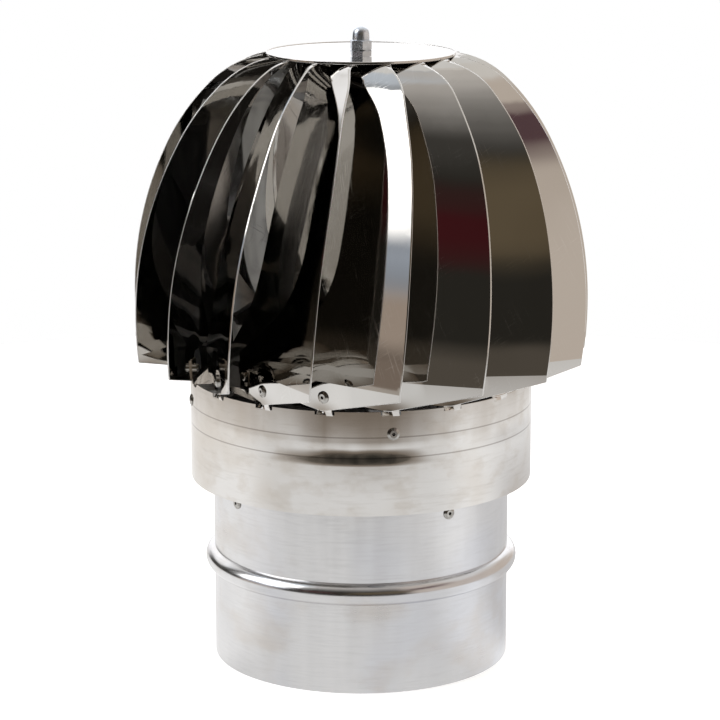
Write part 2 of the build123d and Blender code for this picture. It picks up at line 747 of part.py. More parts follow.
def vane():
    """One vane in its own frame: +X square on, +Y across its face towards the outer edge."""
    low = RIM_Z + BOTTOM_RISE
    tip_across = sqrt(TIP_RADIUS**2 - heel_foot(TIP_Z)[0] ** 2)
    beyond = 1.5 * WIDEST_RADIUS
    blank = vane_blank(low, WIDEST_RADIUS) & outer_envelope()

    inner = [
        (across * WIDEST_RADIUS, RIM_Z + rise * (CROWN_Z - RIM_Z)) for across, rise in INNER_EDGE
    ]
    heel = inner[0][0]
    top = inner[-1][1]
    blank -= side_cut([(-beyond, top), (-beyond, 0), (heel, 0)], inner)

    slope = (TIP_Z - low) / (tip_across - rivet_across())
    far = (beyond, low + slope * (beyond - rivet_across()))
    blank -= side_cut([(rivet_across(), low), far, (beyond, 0), (rivet_across(), 0)], None)

    seam = degrees(TOUCH / outline_point(PETAL_TURN)[0])
    sector_low = TOP_LEAN - PITCH + seam
    wedge = Polyline(
        (0, 0),
        (beyond * cos(radians(sector_low)), beyond * sin(radians(sector_low))),
        (beyond, -beyond),
        (0, -beyond),
        close=True,
    )
    blank -= Pos(0, 0, top) * extrude(make_face(wedge), CROWN_Z)
    flank = Polyline(
        (0, 0),
        (beyond * cos(radians(TOP_LEAN)), beyond * sin(radians(TOP_LEAN))),
        (0, 2 * beyond),
        close=True,
    )
    blank -= Pos(0, 0, top) * extrude(make_face(flank), CROWN_Z)
    blank -= Cylinder(PETAL_ROOT, 4 * CROWN_Z)
    return blank - vane_rivet_place() * rivet_hole()


def vane_angles():
    """Direction that each vane faces square on."""
    return [FIRST_TIP_ANGLE - TIP_LEAN + index * PITCH for index in range(VANE_COUNT)]


def vane_rivets():
    """One set rivet in each vane, through its tongue."""
    one = vane_rivet_place() * Pos(SHEET / 2, 0, 0) * blind_rivet(2 * SHEET)
    return Compound([about_axis(one, angle) for angle in vane_angles()])


# ---------------------------------------------------------------- collar


def tongue():
    """Tongue of the collar in a vane's frame: it rises from the rim and turns to lie behind the vane."""
    root_low = RIM_Z - NOTCH_DEPTH - SHEET
    low = RIM_Z
    high = RIM_Z + TONGUE_RISE
    across = rivet_across()
    middle = COLLAR_RADIUS - SHEET / 2
    foot = tongue_distance(low)
    bearing = degrees(atan2(across, foot))
    root = Rot(0, 0, bearing) * Pos(middle, 0, root_low) * Rectangle(SHEET, TONGUE_WIDTH)
    neck = Pos(foot, across, low) * Rectangle(SHEET, TONGUE_WIDTH)
    twist = loft([root, neck], ruled=True)
    length = (high - low) / cos(radians(HEEL_TILT))
    plate = Pos(foot, across, low) * Rot(0, HEEL_TILT, 0) * Pos(0, 0, length / 2) * Box(
        SHEET, TONGUE_WIDTH, length
    )
    return twist + plate


def collar():
    """Thin collar whose rim is notched into tongues, one for each vane."""
    band = ring(COLLAR_INSIDE, COLLAR_RADIUS, COLLAR_LOW, RIM_Z)
    band -= rivet_holes(COLLAR_RADIUS, SPIDER_RIVET_Z, SPIDER_ANGLE)
    across = rivet_across()
    bearing = degrees(atan2(across, tongue_distance(RIM_Z)))
    width = TONGUE_WIDTH + 2 * NOTCH_WIDTH
    notch = Rot(0, 0, bearing) * Pos(COLLAR_RADIUS, 0, RIM_Z) * Box(8 * SHEET, width, 2 * NOTCH_DEPTH)
    one = tongue() - vane_rivet_place() * rivet_hole()
    for angle in vane_angles():
        band -= about_axis(notch, angle)
    for angle in vane_angles():
        band += about_axis(one, angle)
    return band


# ---------------------------------------------------------------- all the pieces


def pieces():
    """Every node's name with its shape."""
    yield "base_pipe", base_pipe()
    yield "base_bracket", base_bracket()
    yield "bracket_rivets", arm_rivets(PIPE_RADIUS, BRACKET_RIVET_Z, BRACKET_ANGLE)
    yield "bearing_housing", bearing_housing()
    yield "housing_screws", housing_screws()
    yield "housing_nuts", housing_nuts()
    yield "housing_circlip", housing_circlip()
    yield "outer_spacer", outer_spacer()
    for level, low in (("lower", LOWER_BEARING_Z), ("upper", UPPER_BEARING_Z)):
        yield level + "_outer_ring", outer_ring(low)
        yield level + "_inner_ring", inner_ring(low)
        yield level + "_balls", balls(low)
        yield level + "_ball_cage", ball_cage(low)
        yield level + "_bearing_seals", bearing_seals(low)
    yield "spindle", spindle()
    yield "spindle_circlip", spindle_circlip()
    yield "inner_spacer", inner_spacer()
    yield "thrust_sleeve", thrust_sleeve()
    yield "dust_cap", dust_cap()
    yield "spider_lower_nut", clamp_nut(LOWER_NUT_Z)
    yield "rotor_spider", rotor_spider()
    yield "spider_upper_nut", clamp_nut(SPIDER_TOP)
    yield "spider_rivets", arm_rivets(COLLAR_RADIUS, SPIDER_RIVET_Z, SPIDER_ANGLE)
    yield "rotor_collar", collar()
    one_vane = vane()
    for index, angle in enumerate(vane_angles(), start=1):
        yield f"vane_{index:02d}", about_axis(one_vane, angle)
    yield "vane_rivets", vane_rivets()
    yield "backing_washer", backing_washer()
    yield "top_disc", top_disc()
    yield "dome_nut", dome_nut()


if __name__ == "__main__":
    os.makedirs("parts", exist_ok=True)
    for name, shape in pieces():
        export_step(shape, f"parts/{name}.step")
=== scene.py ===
# %% [markdown]
# A roof turbine ventilator: a spigot pipe that stands still, and a head of mirror-bright vanes
# that turns on it. The sheet metal comes packed from CAD, in metres, with the axis on Z and the
# spigot's lower rim at the origin. This lesson dresses it: a camera, a small studio, finishes
# made of shader nodes, and the pieces whose fine shape is easier to make here.

import math

import bpy
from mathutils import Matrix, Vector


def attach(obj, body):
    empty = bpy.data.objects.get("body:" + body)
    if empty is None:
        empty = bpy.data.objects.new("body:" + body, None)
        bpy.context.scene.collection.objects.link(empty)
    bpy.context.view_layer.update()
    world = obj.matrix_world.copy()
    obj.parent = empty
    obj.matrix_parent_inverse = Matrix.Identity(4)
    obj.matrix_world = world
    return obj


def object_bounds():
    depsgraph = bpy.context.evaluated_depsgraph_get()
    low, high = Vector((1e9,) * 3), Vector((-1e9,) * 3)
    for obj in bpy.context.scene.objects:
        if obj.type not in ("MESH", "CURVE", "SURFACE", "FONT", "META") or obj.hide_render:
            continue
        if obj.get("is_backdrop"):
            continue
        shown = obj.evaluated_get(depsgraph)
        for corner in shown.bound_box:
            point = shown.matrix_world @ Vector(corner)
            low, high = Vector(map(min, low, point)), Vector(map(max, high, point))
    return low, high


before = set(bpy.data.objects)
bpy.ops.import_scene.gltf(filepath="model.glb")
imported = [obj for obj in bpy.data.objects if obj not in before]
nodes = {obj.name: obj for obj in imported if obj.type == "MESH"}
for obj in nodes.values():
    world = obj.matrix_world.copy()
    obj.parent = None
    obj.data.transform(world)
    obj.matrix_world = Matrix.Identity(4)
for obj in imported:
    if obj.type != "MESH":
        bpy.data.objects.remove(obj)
start_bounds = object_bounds()
print("packed part measures", [round(high - low, 4) for low, high in zip(*start_bounds)])

# %% [markdown]
# The camera stands a long way off with a long lens, a little above the part and looking down on
# it, so the rings of the pipe show as flat ellipses and the vanes keep their true width.

# %% Camera
CAMERA_BACK = 1.76885
CAMERA_HEIGHT = 0.60058
CAMERA_ASIDE = -0.00065
CAMERA_DOWN = 12.77         # degrees
SENSOR_WIDTH = 36.0
LENS = 135.6

scene = bpy.context.scene
camera_data = bpy.data.cameras.new("studio_camera")
camera_data.sensor_width = SENSOR_WIDTH
camera_data.lens = LENS
camera = bpy.data.objects.new("studio_camera", camera_data)
camera.location = (CAMERA_ASIDE, -CAMERA_BACK, CAMERA_HEIGHT)
camera.rotation_euler = (math.radians(90 - CAMERA_DOWN), 0, 0)
scene.collection.objects.link(camera)
scene.camera = camera
scene.view_settings.view_transform = "Standard"
print("camera", CAMERA_BACK, "m back with a", LENS, "mm lens, looking down by", CAMERA_DOWN, "degrees")

# %% [markdown]
# Shader maths reads best as plain sums. A `Value` wraps one output socket of a node tree, and
# Python's operators on it add Math nodes. A `Tree` makes every other node: its type, its settings,
# then the values or links of its sockets. Colours go through Mix, because Math turns them grey.

# %% Nodes as Python expressions


class Value:
    """One number in a node tree. Arithmetic on it adds Math nodes."""

    def __init__(self, tree, socket):
        self.tree = tree
        self.socket = socket

    def math(self, operation, *others, clamp=False):
        inputs = dict(enumerate((self,) + others))
        return self.tree.node("ShaderNodeMath", {"operation": operation, "use_clamp": clamp}, inputs)

    def __add__(self, other):
        return self.math("ADD", other)

    def __sub__(self, other):
        return self.math("SUBTRACT", other)

    def __rsub__(self, other):
        return self.math("MULTIPLY_ADD", -1.0, other)

    def __mul__(self, other):
        return self.math("MULTIPLY", other)

    def __truediv__(self, other):
        return self.math("DIVIDE", other)

    def __pow__(self, other):
        return self.math("POWER", other)

    def larger(self, other):
        return self.math("MAXIMUM", other)

    def size(self):
        return self.math("ABSOLUTE")

    def ramp(self, low, high):
        """0 below low and 1 above high, eased in between; the other way round when low is above high."""
        return self.tree.node(
            "ShaderNodeMapRange",
            {"interpolation_type": "SMOOTHSTEP"},
            {"Value": self, "From Min": low, "From Max": high},
        )

    def band(self, low, high, soft):
        """1 between low and high, easing to 0 over soft on both sides."""
        return self.ramp(low - soft / 2, low + soft / 2) * self.ramp(high + soft / 2, high - soft / 2)


class Tree:
    """Makes the nodes of one material or world."""

    def __init__(self, owner):
        owner.use_nodes = True
        self.tree = owner.node_tree
        self.tree.nodes.clear()

    def node(self, kind, settings, inputs, output=0):
        made = self.tree.nodes.new(kind)
        for name, value in settings.items():
            if name == "stops":
                self.set_stops(made.color_ramp, value)
            else:
                setattr(made, name, value)
        for name, value in inputs.items():
            self.feed(made.inputs[name], value)
        return Value(self, made.outputs[output]) if len(made.outputs) else None

    def feed(self, socket, value):
        if isinstance(value, Value):
            self.tree.links.new(value.socket, socket)
        elif socket.type == "RGBA" and len(value) == 3:
            socket.default_value = (*value, 1.0)
        else:
            socket.default_value = value

    def set_stops(self, ramp, stops):
        while len(ramp.elements) < len(stops):
            ramp.elements.new(0.5)
        for element, (place, colour) in zip(ramp.elements, stops):
            element.position = place
            element.color = (*colour, 1.0)

    def blend(self, factor, first, second, mode="MIX"):
        """Colour between first and second."""
        mix = self.tree.nodes.new("ShaderNodeMix")
        mix.data_type = "RGBA"
        mix.blend_type = mode
        for socket, value in zip((mix.inputs[0], mix.inputs[6], mix.inputs[7]), (factor, first, second)):
            self.feed(socket, value)
        return Value(self, mix.outputs[2])

    def parts_of(self, vector):
        """X, Y and Z of a vector."""
        split = self.tree.nodes.new("ShaderNodeSeparateXYZ")
        self.tree.links.new(vector.socket, split.inputs[0])
        return [Value(self, socket) for socket in split.outputs]


# %% [markdown]
# Polished steel has hardly any colour of its own: it shows the room. So the room comes first. It is
# one world shader that knows only directions: how far round from the camera's side a ray goes,
# and how high. The camera's side is dark with a few muted things in it, a tall bright window
# stands to the left, a pale wall to the right, a white screen behind, and a pale ceiling on top.
# The camera itself sees plain white.

# %% The room
ROOM_DARK = (0.026, 0.024, 0.020)
ROOM_CEILING = (0.70, 0.665, 0.63)
CEILING_STARTS = 26.0       # degrees up
CEILING_FULL = 88.0
ROOM_UNEVEN = 15.0          # degrees by which a straight side of a thing wanders
ROOM_WANDER_SCALE = 4.2


def degrees_of(value):
    return value * (180.0 / math.pi)


world = bpy.data.worlds.new("studio")
scene.world = world
room = Tree(world)
direction = room.node("ShaderNodeTexCoord", {}, {}, output="Generated")
along_x, along_y, along_z = room.parts_of(direction)
uneven = room.node("ShaderNodeTexNoise", {}, {"Vector": direction, "Scale": ROOM_WANDER_SCALE, "Detail": 2.0})
wander = uneven - 0.5
round_from_front = degrees_of(along_x.math("ARCTAN2", along_y * -1.0)) + wander * (2 * ROOM_UNEVEN)
height = degrees_of(along_z.math("ARCSINE")) + wander * ROOM_UNEVEN

# Each thing in the room: its colour, then from where to where it stands round from the front and how
# high it reaches, each with the softness of its sides, all in degrees. What stands behind the part
# crosses the seam at 180 degrees, so it is in the list once from each side.
ROOM_THINGS = (
    ("pale wall", (0.66, 0.58, 0.51), (36, 205, 10), (-30, 62, 16)),
    ("white wall", (0.80, 0.77, 0.73), (84, 150, 14), (34, 84, 10)),
    ("plum shelf", (0.12, 0.07, 0.078), (40, 73, 12), (26, 41, 8)),
    ("table's edge", (0.10, 0.086, 0.07), (-54, 36, 8), (-16, -8, 5)),
    ("olive curtain", (0.13, 0.10, 0.062), (-8, 38, 12), (12, 30, 12)),
    ("red cabinet", (0.055, 0.010, 0.012), (-42, -24, 10), (13, 26, 9)),
    ("sill", (0.44, 0.36, 0.30), (-96, -60, 5), (-8, 8, 5)),
    ("underside of the sill", (0.24, 0.19, 0.155), (-96, -60, 5), (-16, -8, 4)),
    ("sky below", (0.42, 0.47, 0.55), (-98, -58, 5), (7, 16, 9)),
    ("top of the window", (0.66, 0.72, 0.80), (-152, -56, 12), (46, 72, 14)),
    ("window", (3.0, 3.0, 3.0), (-106, -57, 3), (15, 54, 4)),
    ("wall behind", (0.84, 0.83, 0.81), (128, 232, 24), (26, 84, 12)),
    ("wall behind", (0.84, 0.83, 0.81), (-232, -128, 24), (26, 84, 12)),
    ("screen behind", (1.35, 1.35, 1.38), (152, 210, 14), (-40, 34, 10)),
    ("screen behind", (1.35, 1.35, 1.38), (-210, -150, 14), (-40, 34, 10)),
    ("screen's edge", (1.2, 1.2, 1.22), (-152, -126, 10), (12, 34, 12)),
)

sky = room.blend(height.ramp(CEILING_STARTS, CEILING_FULL), ROOM_DARK, ROOM_CEILING)
for _, colour, (first, last, side_soft), (low, high, edge_soft) in ROOM_THINGS:
    there = round_from_front.band(first, last, side_soft) * height.band(low, high, edge_soft)
    sky = room.blend(there, sky, colour)
lit = room.node("ShaderNodeBackground", {}, {"Color": sky, "Strength": 1.0})
plain = room.node("ShaderNodeBackground", {}, {"Color": (1.0, 1.0, 1.0), "Strength": 1.0})
seen = room.node("ShaderNodeLightPath", {}, {}, output="Is Camera Ray")
shown = room.node("ShaderNodeMixShader", {}, {0: seen, 1: lit, 2: plain})
room.node("ShaderNodeOutputWorld", {}, {"Surface": shown})
print("room has", len(ROOM_THINGS), "things in it")

# %% [markdown]
# The floor is a round white table. Steel shows how far it reaches, so its size is set on purpose:
# upright sheet below the fold looks at the table, and sheet above it looks past the table's edge.
# Steel also shows where the table is dim, so its colour for the steel carries painted shade: on the
# camera's side, a little on the right, over the middle, and a painted shadow inside the pipe, where no
# light falls. Without that last one the whole head would glow from within.

# %% Floor
TABLE_RADIUS = 1.02
TABLE_SIDES = 96
TABLE_DROP = 0.0002
TABLE_BRIGHT = 0.66         # bright out to here, then falling off towards the edge
TABLE_LIFT = 0.62           # light added for the camera, so that the table meets the white background
PIPE_STANDS_ON = 0.0985     # radius of the spigot's rim

corners = [
    (
        TABLE_RADIUS * math.cos(2 * math.pi * side / TABLE_SIDES),
        TABLE_RADIUS * math.sin(2 * math.pi * side / TABLE_SIDES),
        -TABLE_DROP,
    )
    for side in range(TABLE_SIDES)
]
table_mesh = bpy.data.meshes.new("table")
table_mesh.from_pydata(corners, [], [list(range(TABLE_SIDES))])
table = bpy.data.objects.new("table", table_mesh)
scene.collection.objects.link(table)

table_finish = bpy.data.materials.new("table_white")
white = Tree(table_finish)
place_x, place_y, _ = white.parts_of(white.node("ShaderNodeTexCoord", {}, {}, output="Object"))
reach = (place_x * place_x + place_y * place_y) ** 0.5
far_off = reach.ramp(TABLE_BRIGHT, TABLE_RADIUS)
side = degrees_of(place_x.math("ARCTAN2", place_y * -1.0))
# Painted shade on the table as the steel sees it: a name, a colour, and where it lies
TABLE_PAINTED_SHADE = (
    ("middle", (0.80, 0.80, 0.80), side.band(-66, 58, 34)),
    ("right side", (0.70, 0.695, 0.70), side.band(92, 172, 34) * reach.ramp(0.80, 0.50)),
    ("camera's side", (0.42, 0.375, 0.33), side.band(-34, 34, 36) * reach.ramp(0.58, 0.86)),
    ("inside the pipe", (0.02, 0.018, 0.016), reach.ramp(PIPE_STANDS_ON + 0.001, PIPE_STANDS_ON - 0.003)),
)
seen_white = white.node("ShaderNodeLightPath", {}, {}, output="Is Camera Ray")
shaded = white.node("ShaderNodeBsdfDiffuse", {}, {"Color": (0.80, 0.80, 0.80)})
lifted = white.node("ShaderNodeEmission", {}, {"Color": (1.0, 1.0, 1.0), "Strength": TABLE_LIFT})
for_camera = white.node("ShaderNodeAddShader", {}, {0: shaded, 1: lifted})
table_colour = white.blend(far_off, (0.99, 0.985, 0.98), (0.52, 0.47, 0.42))
# each painted shade darkens the table's colour for the steel
for _, shade, where in TABLE_PAINTED_SHADE:
    table_colour = white.blend(where, table_colour, shade, mode="MULTIPLY")
for_steel = white.node("ShaderNodeEmission", {}, {"Color": table_colour, "Strength": 1.0})
surface = white.node("ShaderNodeMixShader", {}, {0: seen_white, 1: for_steel, 2: for_camera})
white.node("ShaderNodeOutputMaterial", {}, {"Surface": surface})
table_mesh.materials.append(table_finish)
table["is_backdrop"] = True
print("table of radius", TABLE_RADIUS, "m with", len(TABLE_PAINTED_SHADE), "shades on it")

# %% [markdown]
# One wide soft lamp overhead lights what isn't a mirror. It is left out of the reflections, because
# the room above already holds everything that the steel should show.

# %% Lamp
LAMP_WIDTH = 1.6
LAMP_HEIGHT = 1.9
LAMP_FORWARD = 0.2
LAMP_POWER = 12.0

lamp_data = bpy.data.lights.new("top_lamp", "AREA")
lamp_data.size = LAMP_WIDTH
lamp_data.energy = LAMP_POWER
lamp = bpy.data.objects.new("top_lamp", lamp_data)
lamp.location = (0.0, -LAMP_FORWARD, LAMP_HEIGHT)
lamp.visible_glossy = False
scene.collection.objects.link(lamp)
print("lamp", LAMP_WIDTH, "m wide at", LAMP_HEIGHT, "m")

# %% [markdown]
# Four small helpers serve every finish. A piece's own frame is its Object coordinates turned about
# the axis, so one recipe fits all the vanes. Noise is read with a stretch, which turns blobs into
# streaks. A bump takes a height in metres. The last one makes a metal: what changes over a surface
# goes only into its colour, roughness and normal.

# %% Helpers for finishes


def own_frame(tree, turn=0.0):
    """Object coordinates of a piece, turned about the axis by some degrees."""
    spot = tree.node("ShaderNodeTexCoord", {}, {}, output="Object")
    return tree.node("ShaderNodeMapping", {}, {"Vector": spot, "Rotation": (0, 0, math.radians(turn))})


def noise(tree, spot, scale, stretch=(1, 1, 1), detail=2.0):
    """Noise from 0 to 1, averaging 0.5, with a separate stretch along each direction."""
    drawn_out = tree.node("ShaderNodeVectorMath", {"operation": "MULTIPLY"}, {0: spot, 1: stretch})
    return tree.node("ShaderNodeTexNoise", {}, {"Vector": drawn_out, "Scale": scale, "Detail": detail})


def scratches(tree, spot, lean, spacing, length):
    """Thin lines on a face whose own frame is (out, across, up), leaning from upright by some degrees."""
    _, across, up = tree.parts_of(spot)
    side, rise = math.cos(math.radians(lean)), math.sin(math.radians(lean))
    square = across * side + up * rise
    along = up * side - across * rise
    flat = tree.node("ShaderNodeCombineXYZ", {}, {"X": square * (1 / spacing), "Y": along * (1 / length)})
    return noise(tree, flat, 1.0, detail=1.0).ramp(0.60, 0.74)


def metal(tree, colour, roughness, height=None):
    """Bare metal. The height is in metres."""
    sockets = {"Base Color": colour, "Metallic": 1.0, "Roughness": roughness}
    if height is not None:
        sockets["Normal"] = tree.node(
            "ShaderNodeBump", {}, {"Strength": 1.0, "Distance": 1.0, "Height": height}
        )
    shader = tree.node("ShaderNodeBsdfPrincipled", {}, sockets)
    tree.node("ShaderNodeOutputMaterial", {}, {"Surface": shader})


def dress(names, finish):
    """Give CAD pieces a finish."""
    for name in names:
        slots = nodes[name].data.materials
        slots.clear()
        slots.append(finish)


# %% [markdown]
# The vanes are mirror-polished sheet. Three things keep them from looking like glass: the sheet is
# not quite flat, so straight things bend in it; each rivet has pulled a dimple; and wiping has left
# hazy patches of hair-fine scratches. One finish is made for each vane, in that vane's own frame.

# %% Mirror finish of the vanes
FIRST_VANE_FACES = -37.6    # degrees from the front that the first vane faces
VANE_RIVET_ACROSS = 0.0496
VANE_RIVET_UP = 0.2010
DIMPLE_REACH = 0.024
DIMPLE_DEPTH = 0.00130
SHEET_WAVE = 0.0011
SCRATCH_DEPTH = 0.000002
vane_names = sorted(name for name in nodes if name.startswith("vane_") and name != "vane_rivets")
pitch = 360.0 / len(vane_names)


def mirror_sheet(name, turn, wave=SHEET_WAVE):
    """Polished stainless sheet in the frame of one vane."""
    finish = bpy.data.materials.new(name)
    tree = Tree(finish)
    spot = own_frame(tree, turn)
    shifted = tree.node("ShaderNodeVectorMath", {"operation": "ADD"}, {0: spot, 1: (turn * 0.01, 0.0, 0.0)})
    haze = noise(tree, shifted, 15.0, (1, 1, 0.5)).ramp(0.42, 0.72)
    wiped = noise(tree, shifted, 30.0).ramp(0.46, 0.66)
    lines = scratches(tree, shifted, 24.0, 0.0007, 0.030)
    lines = lines.larger(scratches(tree, shifted, -58.0, 0.0006, 0.018))
    marks = lines * wiped
    _, across, up = tree.parts_of(spot)
    off_across = across - VANE_RIVET_ACROSS
    off_up = up - VANE_RIVET_UP
    from_rivet = (off_across * off_across + off_up * off_up) ** 0.5
    dimple = from_rivet.ramp(DIMPLE_REACH, 0.0)
    bent = noise(tree, shifted, 11.0, (1, 1, 0.7), detail=1.0)
    height = bent * wave - dimple * DIMPLE_DEPTH - marks * SCRATCH_DEPTH
    colour = tree.blend(haze, (0.66, 0.645, 0.62), (0.60, 0.58, 0.55))
    colour = tree.blend(marks * 0.5, colour, (0.80, 0.79, 0.78))
    metal(tree, colour, haze * 0.035 + marks * 0.16 + 0.022, height)
    return finish


for index, name in enumerate(vane_names):
    faces = FIRST_VANE_FACES + index * pitch
    dress([name], mirror_sheet("mirror_" + name, 90.0 - faces))
dress(["top_disc"], mirror_sheet("mirror_disc", 0.0, wave=0.0))
print("mirror finish on", len(vane_names), "vanes and the disc")

# %% [markdown]
# The collar is rolled from the same sheet, but it has been handled more: warm, slightly dull, with
# faint upright streaks. Two fine grooves run round it, drawn only as lines of painted shade, and between
# and below them the front is pressed in by less than a millimetre. The dent itself hardly shows, but it
# mirrors the room as one dark lens.

# %% Finish of the collar
COLLAR_LINES = (0.1616, 0.1750)     # heights
COLLAR_LEAN = (0.1560, 0.1680)      # heights between which the sheet leans in
COLLAR_STREAKED = (0.158, 0.172)    # heights over which the streaks set in
COLLAR_LEAN_DEPTH = 0.00080
LEAN_MIDDLE = -4.0          # degrees from the front
LEAN_REACH = 34.0           # degrees to each side
LINE_HALF_WIDTH = 0.0003

collar_finish = bpy.data.materials.new("rolled_sheet")
tree = Tree(collar_finish)
spot = own_frame(tree)
to_x, to_y, up = tree.parts_of(spot)
lean_side = (degrees_of(to_x.math("ARCTAN2", to_y * -1.0)) - LEAN_MIDDLE) / LEAN_REACH
lean_here = (1.0 - lean_side * lean_side).larger(0.0)
streaks = noise(tree, spot, 40.0, (1, 1, 0.12)).ramp(0.40, 0.66)
patches = noise(tree, spot, 16.0).ramp(0.42, 0.70)
above = up.ramp(*COLLAR_STREAKED)
# painted shade in the two fine grooves: they are drawn in the colour only, with no bump
scribed_groove_shade = (up - COLLAR_LINES[0]).size().ramp(LINE_HALF_WIDTH * 2, LINE_HALF_WIDTH)
scribed_groove_shade = scribed_groove_shade.larger((up - COLLAR_LINES[1]).size().ramp(LINE_HALF_WIDTH * 2, LINE_HALF_WIDTH))
scuffed = noise(tree, spot, 55.0, (1, 1, 1.6), detail=5.0).ramp(0.48, 0.70)
rubbed = noise(tree, spot, 420.0, (0.10, 0.10, 1), detail=3.0).ramp(0.50, 0.80)
colour = tree.blend(patches, (0.78, 0.765, 0.745), (0.68, 0.635, 0.58))
colour = tree.blend(scuffed * 0.40, colour, (0.60, 0.545, 0.48))
colour = tree.blend(rubbed * 0.22, colour, (0.46, 0.42, 0.37))
colour = tree.blend(streaks * above * 0.5, colour, (0.56, 0.51, 0.455))
# the two fine grooves darkened with painted shade
colour = tree.blend(scribed_groove_shade * 0.55, colour, (0.25, 0.22, 0.20))
lean = up.ramp(*COLLAR_LEAN) * lean_here * COLLAR_LEAN_DEPTH
rippled = noise(tree, spot, 34.0, (1, 1, 0.30), detail=1.0) * above
height = noise(tree, spot, 13.0, (1, 1, 0.8), detail=1.0) * 0.0010 + rippled * 0.0007 - lean
metal(tree, colour, patches * 0.04 + streaks * 0.03 + scuffed * 0.03 + 0.050, height)
dress(["rotor_collar"], collar_finish)
print("collar dent", COLLAR_LEAN_DEPTH * 1000, "mm deep over", 2 * LEAN_REACH, "degrees")

# %% [markdown]
# The spigot pipe is bright annealed sheet, softer than the mirror, with blue and tan handling
# stains and faint upright rolling marks.

# %% Finish of the spigot pipe
pipe_finish = bpy.data.materials.new("annealed_sheet")
tree = Tree(pipe_finish)
spot = own_frame(tree)
tan_stain = noise(tree, spot, 19.0, (1, 1, 1.5), detail=5.0).ramp(0.50, 0.72)
blue_stain = noise(tree, spot, 11.0, (1.1, 0.9, 0.8)).ramp(0.46, 0.66)
cloudy = noise(tree, spot, 24.0, (1, 1, 0.35), detail=3.0).ramp(0.38, 0.68)
rolled = noise(tree, spot, 70.0, (1, 1, 0.10), detail=3.0).ramp(0.35, 0.75)
brushed = noise(tree, spot, 900.0, (0.06, 0.06, 1), detail=3.0).ramp(0.40, 0.80)
colour = tree.blend(blue_stain * 0.8, (0.775, 0.77, 0.77), (0.70, 0.715, 0.765))
colour = tree.blend(cloudy * 0.45, colour, (0.65, 0.645, 0.655))
colour = tree.blend(tan_stain * 0.55, colour, (0.64, 0.585, 0.53))
colour = tree.blend(rolled * 0.18, colour, (0.62, 0.615, 0.62))
colour = tree.blend(brushed * 0.14, colour, (0.50, 0.49, 0.49))
height = noise(tree, spot, 12.0, detail=1.0) * 0.0007
metal(tree, colour, rolled * 0.05 + tan_stain * 0.05 + brushed * 0.04 + 0.18, height)
dress(["base_pipe"], pipe_finish)
print("annealed finish on the pipe")

# %% [markdown]
# The rest is small: plated and turned steel, rubber seals and nylon cages.

# %% Finishes of the small pieces


def plain_metal(name, colour, worn_colour, roughness, grain):
    """Plated or turned metal with a fine mottle."""
    finish = bpy.data.materials.new(name)
    tree = Tree(finish)
    mottle = noise(tree, own_frame(tree), grain, detail=3.0).ramp(0.38, 0.68)
    metal(tree, tree.blend(mottle, colour, worn_colour), mottle * 0.10 + roughness)
    return finish


def plain_plastic(name, colour, roughness):
    """Rubber or nylon with a fine mottle."""
    finish = bpy.data.materials.new(name)
    tree = Tree(finish)
    mottle = noise(tree, own_frame(tree), 300.0).ramp(0.3, 0.7)
    shade = tree.blend(mottle, colour, [part * 0.85 for part in colour])
    shader = tree.node(
        "ShaderNodeBsdfPrincipled", {}, {"Base Color": shade, "Roughness": mottle * 0.1 + roughness}
    )
    tree.node("ShaderNodeOutputMaterial", {}, {"Surface": shader})
    return finish


zinc = plain_metal("bright_zinc", (0.80, 0.85, 0.92), (0.66, 0.72, 0.80), 0.27, 260.0)
galvanised = plain_metal("galvanised_strip", (0.60, 0.62, 0.64), (0.46, 0.48, 0.50), 0.30, 120.0)
rivet_steel = plain_metal("rivet_steel", (0.52, 0.505, 0.48), (0.36, 0.345, 0.32), 0.14, 400.0)
turned_steel = plain_metal("turned_steel", (0.56, 0.56, 0.57), (0.48, 0.48, 0.49), 0.26, 200.0)
ground_steel = plain_metal("ground_steel", (0.64, 0.64, 0.65), (0.56, 0.56, 0.57), 0.12, 300.0)
spring_steel = plain_metal("spring_steel", (0.10, 0.10, 0.11), (0.07, 0.07, 0.07), 0.35, 200.0)
rubber = plain_plastic("seal_rubber", (0.035, 0.035, 0.035), 0.55)
nylon = plain_plastic("cage_nylon", (0.80, 0.76, 0.66), 0.40)

dress(["dome_nut", "housing_screws", "housing_nuts", "spider_lower_nut", "spider_upper_nut"], zinc)
dress(["base_bracket", "rotor_spider", "dust_cap", "backing_washer"], galvanised)
dress(["bracket_rivets", "spider_rivets", "vane_rivets"], rivet_steel)
dress(["bearing_housing", "outer_spacer", "inner_spacer", "thrust_sleeve"], turned_steel)
dress(["spindle"] + [name for name in nodes if name.endswith(("_ring", "_balls"))], ground_steel)
dress(["housing_circlip", "spindle_circlip"], spring_steel)
dress(["lower_bearing_seals", "upper_bearing_seals"], rubber)
dress(["lower_ball_cage", "upper_ball_cage"], nylon)
print("every piece has a finish:", all(len(nodes[name].data.materials) == 1 for name in nodes))

# %% [markdown]
# Geometry Nodes make what repeats. A `Shape` is a geometry tree with named inputs for its sizes,
# written in the same way as a material. Everything on this head repeats round the axis, so every
# tree ends the same way: one thing, as many times as there are vanes or arms, made real and dressed.

# %% Geometry trees


